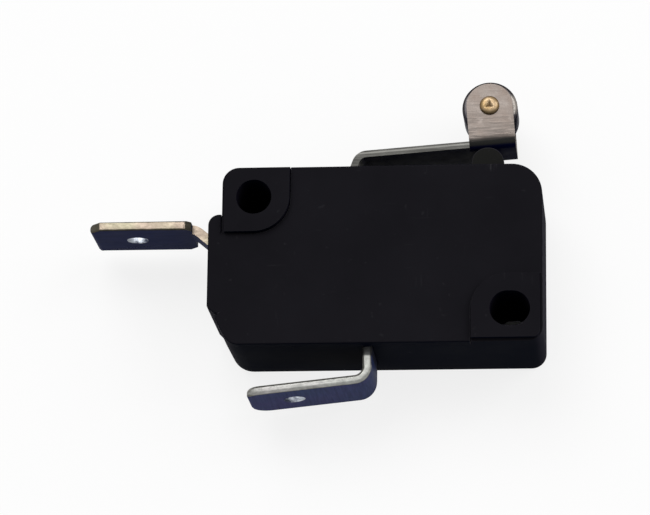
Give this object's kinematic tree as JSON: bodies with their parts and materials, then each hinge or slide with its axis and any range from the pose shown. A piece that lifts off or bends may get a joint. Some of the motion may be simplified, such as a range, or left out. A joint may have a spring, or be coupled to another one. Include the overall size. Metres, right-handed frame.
{
  "type": "roller lever micro switch",
  "caption": "Miniature snap-action switch with a hinged roller lever over its plunger, a diagonal pair of mounting holes and blade terminals.",
  "frame": {"origin": "on the axis of the round mounting hole, at the case's flat back face", "axes": "+X along the case's length, away from the round hole and the contact terminal; +Y the way the plunger stands out; +Z out of the front, through the cover"},
  "size_m": [0.0398, 0.0285, 0.0103],
  "materials": {
    "case": "moulded, fine matt",
    "cover": "moulded, fine matt",
    "plunger": "moulded, smooth",
    "roller_lever": "plated sheet, brushed",
    "roller": "turned",
    "roller_pin": "riveted",
    "common_terminal": "silver-coloured plating",
    "contact_terminal": "silver-coloured plating",
    "fixed_contact": "silver-coloured facing",
    "moving_blade": "copper alloy strip",
    "moving_contact": "silver-coloured facing",
    "inner_lever": "moulded",
    "snap_spring": "drawn wire"
  },
  "bodies": {
    "switch_case": {"case": "case", "cover": "cover", "common_terminal": "common_terminal", "contact_terminal": "contact_terminal", "fixed_contact": "fixed_contact", "snap_spring": "snap_spring"},
    "lever": {"roller_lever": "roller_lever", "roller_pin": "roller_pin"},
    "roller": {"roller": "roller"},
    "plunger": {"plunger": "plunger"},
    "inner_lever": {"inner_lever": "inner_lever"},
    "contact_blade": {"moving_blade": "moving_blade", "moving_contact": "moving_contact"}
  },
  "joints": [
    {"name": "lever_hinge", "type": "hinge", "parent": "switch_case", "child": "lever", "pos_m": [0.0078, 0.0014, 0.00515], "axis": [0, 0, -1], "range_deg": [0, 6.6], "stiffness_Nm_per_rad": 0.05, "springref_deg": -11.46},
    {"name": "roller_spin", "type": "hinge", "parent": "lever", "child": "roller", "pos_m": [0.02036, 0.00874, 0.00515], "axis": [0, 0, 1], "continuous": true},
    {"name": "plunger_slide", "type": "slide", "parent": "switch_case", "child": "plunger", "axis": [0, -1, 0], "range_m": [0, 0.00143]},
    {"name": "inner_lever_hinge", "type": "hinge", "parent": "switch_case", "child": "inner_lever", "pos_m": [0.0061, -0.00295, 0.00515], "axis": [0, 0, -1], "range_deg": [0, 5.81]},
    {"name": "blade_hinge", "type": "hinge", "parent": "inner_lever", "child": "contact_blade", "pos_m": [0.0151, -0.00515, 0.00515], "axis": [0, 0, -1], "range_deg": [0, 1.21], "deforming": ["snap_spring"]}
  ],
  "couplings": [
    {"joint": "plunger_slide", "follows": "lever_hinge", "m_per_rad": 0.01241},
    {"joint": "inner_lever_hinge", "follows": "lever_hinge", "ratio": 0.879},
    {"joint": "blade_hinge", "follows": "lever_hinge", "ratio": 0.182}
  ]
}
